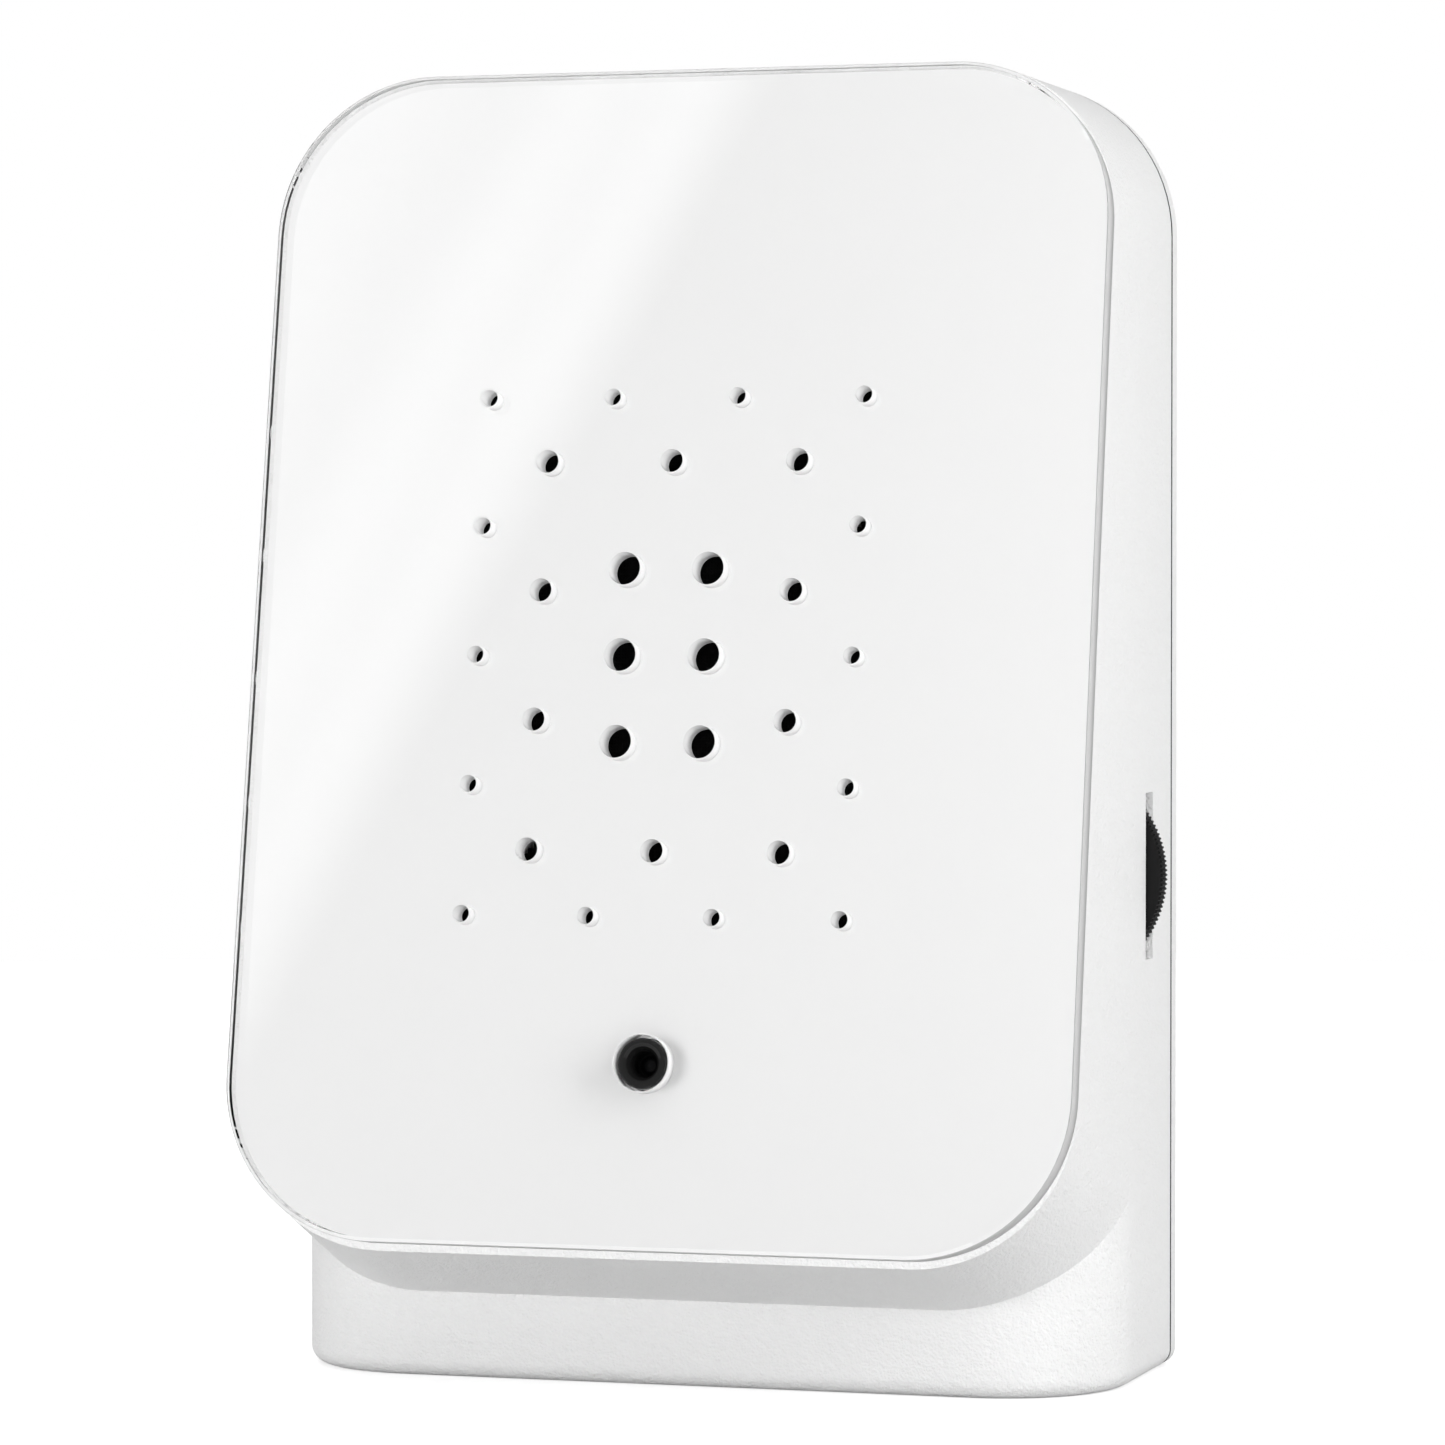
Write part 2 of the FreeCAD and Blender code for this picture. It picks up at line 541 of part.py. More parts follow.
# ---- thumbwheel and its control -----------------------------------------------
def make_wheel():
    y0 = WHEEL_Y - WHEEL_T / 2
    y1 = WHEEL_Y + WHEEL_T / 2
    disc = rod_y(WHEEL_X, WHEEL_Z, WHEEL_R, y0, y1)
    rim_cut = rod_y(WHEEL_X, WHEEL_Z, WHEEL_R - 2.2, y0 - 1, y0 + 0.5)
    hub_keep = rod_y(WHEEL_X, WHEEL_Z, 5.2, y0 - 1, y0 + 0.5)
    bore = rod_y(WHEEL_X, WHEEL_Z, SHAFT_R, y0 - 1, y1 + 1)
    nodes["volume_wheel"] = disc.cut(rim_cut.cut(hub_keep)).cut(bore)

    face_y = 15.2
    shaft = rod_y(WHEEL_X, WHEEL_Z, SHAFT_R, y0, face_y + 1.6)
    nodes["volume_shaft"] = shaft.cut(rod_y(WHEEL_X, WHEEL_Z, 0.8, y0 - 1, y0 + 3.4))
    head = rod_y(WHEEL_X, WHEEL_Z, 3.8, y0 - 1.2, y0)
    head = head.cut(box((WHEEL_X - 5, y0 - 2, WHEEL_Z - 0.35), (WHEEL_X + 5, y0 - 0.7, WHEEL_Z + 0.35)))
    nodes["wheel_screw"] = head.fuse(rod_y(WHEEL_X, WHEEL_Z, 0.8, y0, y0 + 3.2))

    half = 6.0
    case = box((WHEEL_X - half, face_y, WHEEL_Z - half), (WHEEL_X + half, BOARD_Y, WHEEL_Z + half))
    nodes["volume_control"] = case.cut(
        rod_y(WHEEL_X, WHEEL_Z, SHAFT_R + RUNNING_GAP, face_y - 1, face_y + 1.8))


# ---- main board -----------------------------------------------------------------
def make_board():
    board = box((-BOARD_X, BOARD_Y, BOARD_LOW), (BOARD_X, BOARD_Y + BOARD_T, BOARD_HIGH))
    nodes["main_board"] = board.cut([rod_y(x, z, 1.4, BOARD_Y - 1, 30) for x, z in BOARD_POINTS])

    def chip(x, z, w, h, t):
        shape = box((x - w / 2, BOARD_Y - t, z - h / 2), (x + w / 2, BOARD_Y, z + h / 2))
        legs = []
        count = int(h / 2)
        for side in (-1, 1):
            for i in range(count):
                low = z - h / 2 + 0.6 + i * (h - 1.2) / max(count, 1)
                x0 = x + side * w / 2
                x1 = x0 + side * 1.2
                legs.append(box((min(x0, x1), BOARD_Y - 0.5, low), (max(x0, x1), BOARD_Y, low + 0.8)))
        return shape, legs

    sound, sound_legs = chip(-12, 44, 8, 16, 2.2)
    amplifier, amplifier_legs = chip(10, 40, 6, 10, 1.8)
    nodes["sound_chip"] = sound
    nodes["amplifier_chip"] = amplifier
    nodes["chip_legs"] = group(sound_legs + amplifier_legs)
    nodes["capacitors"] = group([
        rod_y(x, z, r, BOARD_Y - long, BOARD_Y)
        for x, z, r, long in ((4, 58, 4.0, 9.0), (-6, 60, 3.2, 7.5), (20, 30, 3.2, 7.5))])
    nodes["resistors"] = group([
        box((-24 + 5 * i, BOARD_Y - 0.7, 30 - 1.0), (-22 + 5 * i, BOARD_Y, 30 + 0.2)) for i in range(7)])
    nodes["lead_plugs"] = group([
        box((x - w / 2, BOARD_Y - 6, z - 2.6), (x + w / 2, BOARD_Y, z + 2.6))
        for x, z, w in ((-32, 62, 7.5), (-14, 74, 7.5), (0, 26, 10.0))])


# ---- battery bay --------------------------------------------------------------------
def make_bay():
    t = TRAY_T
    tray = box((-BAY_X - t, BAY_FLOOR_Y - t, BAY_LOW - t), (BAY_X + t, SEAM_Y, BAY_HIGH + t))
    hollow = box((-BAY_X, BAY_FLOOR_Y, BAY_LOW), (BAY_X, SEAM_Y + 1, BAY_HIGH))
    ribs = [box((-BAY_X, BAY_FLOOR_Y, BAY_MID_Z + side * CELL_PITCH / 2 - 0.4),
                (BAY_X, BAY_FLOOR_Y + 3.5, BAY_MID_Z + side * CELL_PITCH / 2 + 0.4)) for side in (-1, 1)]
    nodes["battery_tray"] = union([tray.cut(hollow)] + ribs)
    plates = []
    springs = []
    for i in range(3):
        z = BAY_MID_Z + (1 - i) * CELL_PITCH
        side = 1 if i % 2 == 0 else -1
        body = rod_x(CELL_Y, z, CELL_R, -CELL_LONG / 2, CELL_LONG / 2)
        ends = [e for e in body.Edges if e.BoundBox.XMax - e.BoundBox.XMin < 0.01]
        body = body.makeFillet(0.6, ends)
        nub_end = CELL_LONG / 2 + 1.2
        nub = rod_x(CELL_Y, z, 2.75, min(0, side * nub_end), max(0, side * nub_end))
        nodes["battery_cell_%d" % (i + 1)] = body.fuse(nub)
        for end in (-1, 1):
            wall = end * BAY_X
            inner = wall - end * 0.5
            plates.append(box((min(wall, inner), CELL_Y - 5, z - 6), (max(wall, inner), CELL_Y + 5, z + 6)))
            if end == side:
                continue
            tip = -side * (CELL_LONG / 2 + 0.05)
            cone = Part.makeCone(4.6, 2.6, abs(tip - inner), V(inner, CELL_Y, z), V(side, 0, 0))
            bore = Part.makeCone(3.8, 1.8, abs(tip - inner), V(inner, CELL_Y, z), V(side, 0, 0))
            springs.append(cone.cut(bore))
    nodes["battery_contacts"] = group(plates)
    nodes["battery_springs"] = group(springs)


# ---- leads -------------------------------------------------------------------------
def make_leads():
    lead_r = 0.6
    start = face_point(-24.2, GRID_UP, FLANGE_D + 3.2)
    away = face_point(0, 0, 1) - face_point(0, 0, 0)
    leads = []
    for side in (-1, 1):
        a = start + (face_point(0, 3.0, 0) - face_point(0, 0, 0)) * side
        b = a + away * 5.0
        end = V(-32 + side * 1.6, BOARD_Y - 6, 62)
        c = end - V(0, 6, 0)
        leads.append(tube([a, b, c, end], lead_r))
    nodes["speaker_leads"] = group(leads)
    leads = []
    for side in (-1, 1):
        a = V(-14 + side * 1.6, BOARD_Y - 6, 74)
        b = a - V(0, 3, 0)
        c = V(b.x, b.y, BAY_LOW - TRAY_T)
        leads.append(tube([a, b, c], lead_r))
    nodes["battery_leads"] = group(leads)
    leads = []
    for i in (-1, 0, 1):
        a = face_point(2.5 * i, SENSOR_UP + 4, 13.0)
        b = a + away * 5.0
        d = V(2.5 * i, BOARD_Y - 6, 26.0)
        c = d - V(0, 6, 0)
        leads.append(tube([a, b, c, d], lead_r))
    nodes["sensor_leads"] = group(leads)


make_plate()
make_shell()
make_cover()
make_door()
make_casing_screws()
make_speaker()
make_sensor()
make_wheel()
make_board()
make_bay()
make_leads()

os.makedirs("parts", exist_ok=True)
for name, shape in nodes.items():
    good = shape.isValid() and all(s.Volume > 0 for s in shape.Solids) and shape.Solids
    print("%-20s solids %2d  volume %9.1f  %s" % (name, len(shape.Solids), shape.Volume, "ok" if good else "BAD"))
    shape.exportStep("parts/%s.step" % name)
whole = Part.makeCompound(list(nodes.values())).BoundBox
print("box", [round(v, 2) for v in (whole.XMin, whole.XMax, whole.YMin, whole.YMax, whole.ZMin, whole.ZMax)])
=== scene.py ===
import json
import math

import bmesh
import bpy
from mathutils import Matrix, Vector


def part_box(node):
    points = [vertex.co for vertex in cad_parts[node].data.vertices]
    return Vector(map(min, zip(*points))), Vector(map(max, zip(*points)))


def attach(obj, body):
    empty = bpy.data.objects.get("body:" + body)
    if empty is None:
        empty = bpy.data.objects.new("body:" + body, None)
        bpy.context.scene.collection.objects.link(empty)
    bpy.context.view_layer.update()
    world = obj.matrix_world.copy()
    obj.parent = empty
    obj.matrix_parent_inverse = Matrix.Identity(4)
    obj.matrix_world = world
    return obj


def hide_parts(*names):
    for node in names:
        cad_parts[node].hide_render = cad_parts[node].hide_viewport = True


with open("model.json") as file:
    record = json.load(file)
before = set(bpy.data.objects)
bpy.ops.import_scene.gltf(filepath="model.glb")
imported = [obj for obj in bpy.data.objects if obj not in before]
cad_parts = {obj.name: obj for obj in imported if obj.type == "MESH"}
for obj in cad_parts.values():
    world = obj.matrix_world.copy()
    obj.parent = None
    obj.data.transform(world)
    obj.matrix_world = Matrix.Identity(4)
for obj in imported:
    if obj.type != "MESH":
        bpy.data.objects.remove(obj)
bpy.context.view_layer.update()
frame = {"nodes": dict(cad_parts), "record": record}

MM = 0.001
nodes = frame["nodes"]
scene = bpy.context.scene

# ---- sizes that the CAD has too ------------------------------------------------
TILT = math.radians(9.6)      # how far the front plate leans back
PLATE_T = 3.3 * MM
PLATE_CORNER_R = 18.5 * MM
GRILLE_SHIFT = -0.4 * MM      # the grille's centre, up the plate from the plate's own
SEAM_Y = 24.7 * MM            # the middle of the groove between the shell and the back cover
SEAM_HALF = 0.32 * MM         # half the width of the painted seam shade: half the groove's width, and a hair more

# ---- the front plate's own frame ---------------------------------------------------
RIGHT = Vector((1, 0, 0))
UP_SLOPE = Vector((0, math.sin(TILT), math.cos(TILT)))
INWARD = Vector((0, math.cos(TILT), -math.sin(TILT)))
plate_low, plate_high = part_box("front_plate")
FACE_CENTRE = (plate_low + plate_high) / 2 - INWARD * PLATE_T / 2


def face_point(x, up, depth):
    """The point x to the right of the plate's centre, up its slope and depth behind its face."""
    return FACE_CENTRE + RIGHT * x + UP_SLOPE * up + INWARD * depth


def face_depth(point):
    """How far a point lies behind the plate's face."""
    return (point - FACE_CENTRE).dot(INWARD)


# ---- camera ------------------------------------------------------------------
camera = bpy.data.objects.new("camera", bpy.data.cameras.new("camera"))
scene.collection.objects.link(camera)
camera.location = (0.2003, -0.6370, 0.0898)
camera.rotation_euler = (math.radians(90 - 1.152), 0, math.radians(17.279))    # looks 1.152 degrees down
camera.data.sensor_width = 36
camera.data.lens = 142.69
camera.data.dof.use_dof = False
scene.camera = camera

# ---- light ---------------------------------------------------------------------
WINDOW_GLOW = 2.0             # of the window that glossy surfaces mirror
STUDIO_GLOW = 0.28            # what the object gets from all round; the camera sees 1 there


def studio():
    """An even pale studio. The camera sees it as clean white; the object is lit by its softer glow."""
    world = bpy.data.worlds.new("studio")
    scene.world = world
    world.use_nodes = True
    tree = world.node_tree
    background = tree.nodes["Background"]
    background.inputs["Color"].default_value = (1, 1, 1, 1)
    path = tree.nodes.new("ShaderNodeLightPath")
    glow = tree.nodes.new("ShaderNodeMapRange")
    glow.inputs["To Min"].default_value = STUDIO_GLOW
    glow.inputs["To Max"].default_value = 1.0
    tree.links.new(path.outputs["Is Camera Ray"], glow.inputs["Value"])
    tree.links.new(glow.outputs["Result"], background.inputs["Strength"])


def softbox(name, place, target, wide, high, glow):
    """A rectangular lamp that faces target. glow is its brightness, where white paper is 1.

    Neither the camera nor any glossy or clear surface shows it.
    """
    data = bpy.data.lights.new(name, "AREA")
    data.shape = "RECTANGLE"
    data.size = wide
    data.size_y = high
    data.energy = glow * math.pi * wide * high
    lamp = bpy.data.objects.new(name, data)
    scene.collection.objects.link(lamp)
    lamp.location = place
    lamp.rotation_mode = "QUATERNION"
    lamp.rotation_quaternion = (Vector(target) - Vector(place)).to_track_quat("-Z", "Y")
    lamp.visible_camera = False
    lamp.visible_glossy = False
    lamp.visible_transmission = False


scene.view_settings.view_transform = "Standard"
studio()
softbox("left", (-0.35, -0.45, 0.08), (0, 0, 0.06), 0.20, 0.26, 10.0)
softbox("fill", (0.25, -0.75, 0.08), (0, 0, 0.06), 0.50, 0.30, 2.8)
softbox("right", (0.30, -0.11, 0.16), (0.05, 0, 0.08), 0.10, 0.34, 6.5)
softbox("overhead", (0.0, 0.1, 1.3), (0, 0, 0), 1.8, 1.8, 0.85)
softbox("rear", (-0.9, 1.1, 0.8), (0, 0, 0.08), 0.8, 0.8, 4.0)


def reflected_window():
    """Bright bands that only the glossy surfaces mirror. They slant across the clear plate."""
    lean = math.radians(22.6)
    wide, high, away = 0.40, 1.0, 1.4
    banded = 0.2                               # the bands fill this much of its width, then it is even
    along = Vector((math.sin(lean), 0, math.cos(lean)))
    across = Vector((-math.cos(lean), 0, math.sin(lean)))
    edge = Vector((-0.672, -away, 0.258))      # the foot of the window's right edge
    made = bmesh.new()
    corners = [(0, 0), (wide, 0), (wide, high), (0, high)]
    made.faces.new([made.verts.new((u, v, 0)) for u, v in corners])
    mesh = bpy.data.meshes.new("reflected_window")
    made.to_mesh(mesh)
    made.free()
    panel = bpy.data.objects.new("reflected_window", mesh)
    scene.collection.objects.link(panel)
    facing = across.cross(along)
    panel.matrix_world = Matrix((
        (across.x, along.x, facing.x, edge.x),
        (across.y, along.y, facing.y, edge.y),
        (across.z, along.z, facing.z, edge.z),
        (0, 0, 0, 1),
    ))
    material, tree, place, output = blank("window_glow")
    u = add(tree, "ShaderNodeSeparateXYZ", {0: place}).outputs["X"]
    share = add(tree, "ShaderNodeMapRange", {"Value": u, "From Max": banded}).outputs["Result"]
    bands = add(tree, "ShaderNodeValToRGB", {0: share})
    bands.color_ramp.interpolation = "B_SPLINE"
    stops = bands.color_ramp.elements
    levels = ((0.0, 0.0), (0.13, 1.0), (0.24, 0.65), (0.37, 1.0), (0.51, 0.55), (0.7, 0.9), (1.0, 1.0))
    for position, level in levels:
        stop = stops.new(position)
        stop.color = (level, level, level, 1)
    stops.remove(stops[0])                     # the ramp's own two stops
    stops.remove(stops[len(stops) - 1])
    glow = add(tree, "ShaderNodeEmission", {"Color": bands.outputs["Color"], "Strength": WINDOW_GLOW})
    tree.links.new(glow.outputs[0], output)
    panel.data.materials.append(material)
    panel.visible_camera = False
    panel.visible_diffuse = False


# ---- materials -------------------------------------------------------------------
def add(tree, kind, inputs=None, **settings):
    """A new node. settings are its own properties; inputs are values or sockets."""
    made = tree.nodes.new(kind)
    for key, value in settings.items():
        setattr(made, key, value)
    for key, value in (inputs or {}).items():
        if isinstance(value, bpy.types.NodeSocket):
            tree.links.new(value, made.inputs[key])
        else:
            made.inputs[key].default_value = value
    return made


def blank(name):
    """A material with an empty tree, its object coordinates and its output."""
    material = bpy.data.materials.new(name)
    material.use_nodes = True
    tree = material.node_tree
    tree.nodes.clear()
    place = add(tree, "ShaderNodeTexCoord").outputs["Object"]
    output = add(tree, "ShaderNodeOutputMaterial").inputs["Surface"]
    return material, tree, place, output


def ramp(tree, factor, low, high):
    """A colour between low and high as factor goes from 0 to 1."""
    made = add(tree, "ShaderNodeMix", {0: factor}, data_type="RGBA", clamp_factor=True)
    made.inputs["A"].default_value = (*low, 1)
    made.inputs["B"].default_value = (*high, 1)
    return made.outputs["Result"]


def noise(tree, place, size, detail=3.0, rough=0.5):
    """Noise whose lumps are about size metres across."""
    return add(tree, "ShaderNodeTexNoise",
               {"Vector": place, "Scale": 1 / size, "Detail": detail, "Roughness": rough}).outputs[0]


def bump(tree, height, depth):
    """A normal for a relief that is depth metres deep where height goes from 0 to 1."""
    return add(tree, "ShaderNodeBump", {"Height": height, "Distance": depth}).outputs["Normal"]


def number_range(tree, value, low, high):
    """A number between low and high as value goes from 0 to 1."""
    made = add(tree, "ShaderNodeMapRange", {"Value": value, "To Min": low, "To Max": high})
    return made.outputs["Result"]


def plain(name, colour, rough=(0.4, 0.5), vary=0.05, grain=0.8 * MM, depth=0.01 * MM, **shader):
    """Any even stuff: a colour that drifts a little, uneven gloss and a fine grain."""
    material, tree, place, output = blank(name)
    drift = noise(tree, place, 12 * MM, 2.0)
    dark = [c * (1 - vary) for c in colour]
    light = [min(c * (1 + vary), 1.0) for c in colour]
    gloss = noise(tree, place, 3 * MM, 4.0)
    settings = {
        "Base Color": ramp(tree, drift, dark, light),
        "Roughness": number_range(tree, gloss, *rough),
        "Normal": bump(tree, noise(tree, place, grain), depth),
    }
    settings.update(shader)
    made = add(tree, "ShaderNodeBsdfPrincipled", settings)
    tree.links.new(made.outputs[0], output)
    return material


def casing_plastic(name, painted_seam_shade=False):
    """White moulded plastic with a fine grain. When asked for, a band round the groove between the shell
    and the back cover is painted dark grey, as painted shade for the gap there.
    """
    material, tree, place, output = blank(name)
    lumps = noise(tree, place, 0.8 * MM, 2.0)
    fine = noise(tree, place, 0.3 * MM, 4.0)
    height = add(tree, "ShaderNodeMath", {0: lumps, 1: fine}, operation="ADD").outputs[0]
    drift = noise(tree, place, 20 * MM, 2.0)
    colour = ramp(tree, drift, (0.872, 0.872, 0.872), (0.888, 0.888, 0.888))
    # painted shade: a dark grey band at the seam groove's depth stands in for the shadow in the gap between
    # shell and back cover
    if painted_seam_shade:
        y = add(tree, "ShaderNodeSeparateXYZ", {0: place}).outputs["Y"]
        seam = {0: y, 1: SEAM_Y, 2: SEAM_HALF}
        seam_shade_mask = add(tree, "ShaderNodeMath", seam, operation="COMPARE").outputs[0]
        mix = add(tree, "ShaderNodeMix", {0: seam_shade_mask}, data_type="RGBA")
        tree.links.new(colour, mix.inputs["A"])
        mix.inputs["B"].default_value = (0.12, 0.12, 0.12, 1)
        colour = mix.outputs["Result"]
    made = add(tree, "ShaderNodeBsdfPrincipled", {
        "Base Color": colour,
        "Roughness": number_range(tree, fine, 0.36, 0.46),
        "Normal": bump(tree, height, 0.20 * MM),
        "IOR": 1.5,
    })
    tree.links.new(made.outputs[0], output)
    return material


def matt_ink(name, grey):
    """Matt ink, with the faint mottle of screen print."""
    material, tree, place, output = blank(name)
    mottle = noise(tree, place, 1.2 * MM, 5.0, 0.7)
    made = add(tree, "ShaderNodeBsdfPrincipled", {
        "Base Color": ramp(tree, mottle, [grey - 0.01] * 3, [grey + 0.01] * 3),
        "Roughness": number_range(tree, mottle, 0.6, 0.75),
        "Normal": bump(tree, mottle, 0.004 * MM),
    })
    tree.links.new(made.outputs[0], output)
    return material


def clear_acrylic():
    """Clear sheet. Lamps and soft light pass straight through to the print behind it."""
    material, tree, place, output = blank("clear_acrylic")
    wave = noise(tree, place, 60 * MM, 1.0)
    glass = add(tree, "ShaderNodeBsdfPrincipled", {
        "Base Color": (0.995, 0.995, 0.995, 1),
        "Roughness": 0.0,
        "IOR": 1.49,
        "Transmission Weight": 1.0,
        "Normal": bump(tree, wave, 0.02 * MM),
    })
    clear = add(tree, "ShaderNodeBsdfTransparent", {"Color": (0.97, 0.97, 0.97, 1)})
    path = add(tree, "ShaderNodeLightPath")
    soft = add(tree, "ShaderNodeMath",
               {0: path.outputs["Is Shadow Ray"], 1: path.outputs["Is Diffuse Ray"]}, operation="MAXIMUM")
    mix = add(tree, "ShaderNodeMixShader", {0: soft.outputs[0], 1: glass.outputs[0], 2: clear.outputs[0]})
    tree.links.new(mix.outputs[0], output)
    return material


def woven(name, colour, pitch):
    """Cloth: threads about pitch apart that cross, in a square weave laid along the face."""
    material, tree, place, output = blank(name)
    bands_per_unit = 3.2                       # the wave texture's, at scale 1
    waves = []
    for axis in ("X", "Z"):
        wave = add(tree, "ShaderNodeTexWave",
                   {"Vector": place, "Scale": 1 / pitch / bands_per_unit, "Distortion": 0.4, "Detail": 1.0},
                   bands_direction=axis)
        waves.append(wave.outputs["Fac"])
    weave = add(tree, "ShaderNodeMath", {0: waves[0], 1: waves[1]}, operation="MULTIPLY").outputs[0]
    made = add(tree, "ShaderNodeBsdfPrincipled", {
        "Base Color": ramp(tree, weave, [c * 0.4 for c in colour], colour),
        "Roughness": 0.95,
        "Normal": bump(tree, weave, 0.05 * MM),
        "Specular IOR Level": 0.2,
    })
    tree.links.new(made.outputs[0], output)
    return material


def cell_wrap():
    """A cell's printed sleeve in two tones, with bare metal at its ends."""
    sleeve_end, band_start = 24.25 * MM, 15.0 * MM     # along X, from the cell's middle
    material, tree, place, output = blank("cell_wrap")
    x = add(tree, "ShaderNodeSeparateXYZ", {0: place}).outputs["X"]
    out = add(tree, "ShaderNodeMath", {0: x}, operation="ABSOLUTE").outputs[0]
    bare = add(tree, "ShaderNodeMath", {0: out, 1: sleeve_end}, operation="GREATER_THAN").outputs[0]
    band = add(tree, "ShaderNodeMath", {0: out, 1: band_start}, operation="GREATER_THAN").outputs[0]
    tones = ramp(tree, band, (0.05, 0.12, 0.2), (0.62, 0.42, 0.12))
    scuff = noise(tree, place, 1.5 * MM, 4.0)
    mix = add(tree, "ShaderNodeMix", {0: bare}, data_type="RGBA")
    tree.links.new(tones, mix.inputs["A"])
    mix.inputs["B"].default_value = (0.7, 0.7, 0.68, 1)
    body = add(tree, "ShaderNodeBsdfPrincipled", {
        "Base Color": mix.outputs["Result"],
        "Metallic": bare,
        "Roughness": number_range(tree, scuff, 0.18, 0.32),
    })
    tree.links.new(body.outputs[0], output)
    return material


METAL = {"Metallic": 1.0}
DULL = {"Specular IOR Level": 0.25}
DULLER = {"Specular IOR Level": 0.15}
made_of = {
    "clear_plate": clear_acrylic(),
    "white_print": matt_ink("white_print", 0.87),
    "hole_ink": matt_ink("hole_ink", 0.90),
    # the ink round the plate's edge: white ink, made grey as painted shade
    "edge_ink_painted_shade": matt_ink("edge_ink_painted_shade", 0.52),
    "casing_white": casing_plastic("casing_white"),
    "casing_seam_shade": casing_plastic("casing_seam_shade", painted_seam_shade=True),
    "wheel_black": plain("wheel_black", (0.004, 0.004, 0.0042), (0.45, 0.6), 0.15, 0.35 * MM, 0.012 * MM,
                         **DULL),
    "bezel_black": plain("bezel_black", (0.008, 0.008, 0.008), (0.12, 0.2), 0.1, 1.0 * MM, 0.002 * MM),
    "lens_smoked": plain("lens_smoked", (0.003, 0.003, 0.0035), (0.3, 0.4), 0.1, 0.6 * MM, 0.004 * MM,
                         **DULLER),
    "screen_black": woven("screen_black", (0.0015, 0.0015, 0.0015), 0.35 * MM),
    "rubber_black": plain("rubber_black", (0.02, 0.02, 0.02), (0.7, 0.85), 0.2, 0.5 * MM, 0.02 * MM),
    "paper_black": plain("paper_black", (0.03, 0.03, 0.032), (0.75, 0.9), 0.25, 0.7 * MM, 0.04 * MM),
    "steel": plain("steel", (0.6, 0.61, 0.62), (0.25, 0.42), 0.06, 0.5 * MM, 0.004 * MM, **METAL),
    "ferrite": plain("ferrite", (0.05, 0.05, 0.055), (0.5, 0.7), 0.2, 0.4 * MM, 0.02 * MM),
    "copper": plain("copper", (0.75, 0.32, 0.14), (0.25, 0.4), 0.12, 0.25 * MM, 0.03 * MM, **METAL),
    "fibreglass_green": plain("fibreglass_green", (0.015, 0.14, 0.06), (0.25, 0.4), 0.3, 0.9 * MM,
                              0.01 * MM),
    "chip_black": plain("chip_black", (0.02, 0.02, 0.022), (0.5, 0.65), 0.15, 0.3 * MM, 0.006 * MM),
    "tin": plain("tin", (0.78, 0.78, 0.76), (0.18, 0.34), 0.06, 0.6 * MM, 0.004 * MM, **METAL),
    "plug_cream": plain("plug_cream", (0.75, 0.7, 0.56), (0.4, 0.5), 0.05, 0.6 * MM, 0.006 * MM),
    "cell_wrap": cell_wrap(),
    "lead_cover": plain("lead_cover", (0.4, 0.02, 0.015), (0.35, 0.5), 0.15, 0.6 * MM, 0.006 * MM),
}


def paint(piece, stuff):
    """Gives a piece or a CAD node one material from made_of."""
    piece.data.materials.clear()
    piece.data.materials.append(made_of[stuff])


for part in frame["record"]["subparts"]:
    paint(nodes[part["node"]], part["material_slot"])
# the shell and the back cover get the plastic with the painted seam shade
for name in ("front_shell", "back_cover"):
    paint(nodes[name], "casing_seam_shade")


# ---- pieces ------------------------------------------------------------------------
def finish_piece(name, mesh, body, slot, *replaced):
    """Links a mesh made in the row frame, paints it, sets it on its body and hides the CAD nodes it
    replaces.
    """
    piece = bpy.data.objects.new(name, mesh)
    scene.collection.objects.link(piece)
    paint(piece, slot)
    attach(piece, body)
    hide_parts(*replaced)
    return piece


def grille_holes():
    """Centres and radii of the plate's holes: rings of small and medium ones, six large, the sensor's."""
    pitch, large_pitch = 15 * MM, 10 * MM
    small_r, medium_r, large_r, sensor_r = 1.0 * MM, 1.35 * MM, 1.9 * MM, 3.25 * MM
    sensor_drop = 47 * MM
    holes = []
    for columns, rows, radius in ((4, 5, small_r), (3, 4, medium_r)):
        for row in range(rows):
            for column in range(columns):
                if row in (0, rows - 1) or column in (0, columns - 1):
                    x = (column - (columns - 1) / 2) * pitch
                    holes.append((x, (row - (rows - 1) / 2) * pitch + GRILLE_SHIFT, radius))
    for row in (-1, 0, 1):
        for side in (-0.5, 0.5):
            holes.append((side * large_pitch, row * large_pitch + GRILLE_SHIFT, large_r))
    holes.append((0.0, -sensor_drop, sensor_r))
    return holes


def print_layer():
    """The white print behind the plate. It keeps a hair clear of the clear sheet's back."""
    reach, hair = 0.05 * MM, 0.03 * MM         # what lies within reach of the sheet's back moves by a hair
    mesh = nodes["plate_print"].data.copy()
    for vertex in mesh.vertices:
        if face_depth(vertex.co) < PLATE_T + reach:
            vertex.co += INWARD * hair
    finish_piece("print_layer", mesh, "casing", "white_print", "plate_print")


def add_wall(made, inner, outer, front, back):
    """A thin upright wall between two closed outlines in the plate's plane."""
    loops = []
    for outline, depth in ((inner, front), (inner, back), (outer, back), (outer, front)):
        loops.append([made.verts.new(face_point(x, up, depth)) for x, up in outline])
    count = len(inner)
    for first, second in zip(loops, loops[1:] + loops[:1]):
        for step in range(count):
            after = (step + 1) % count
            face = made.faces.new((first[step], first[after], second[after], second[step]))
            face.smooth = True


def circle(x, up, radius, count=48):
    """A round outline in the plate's plane."""
    turns = [2 * math.pi * step / count for step in range(count)]
    return [(x + radius * math.cos(turn), up + radius * math.sin(turn)) for turn in turns]


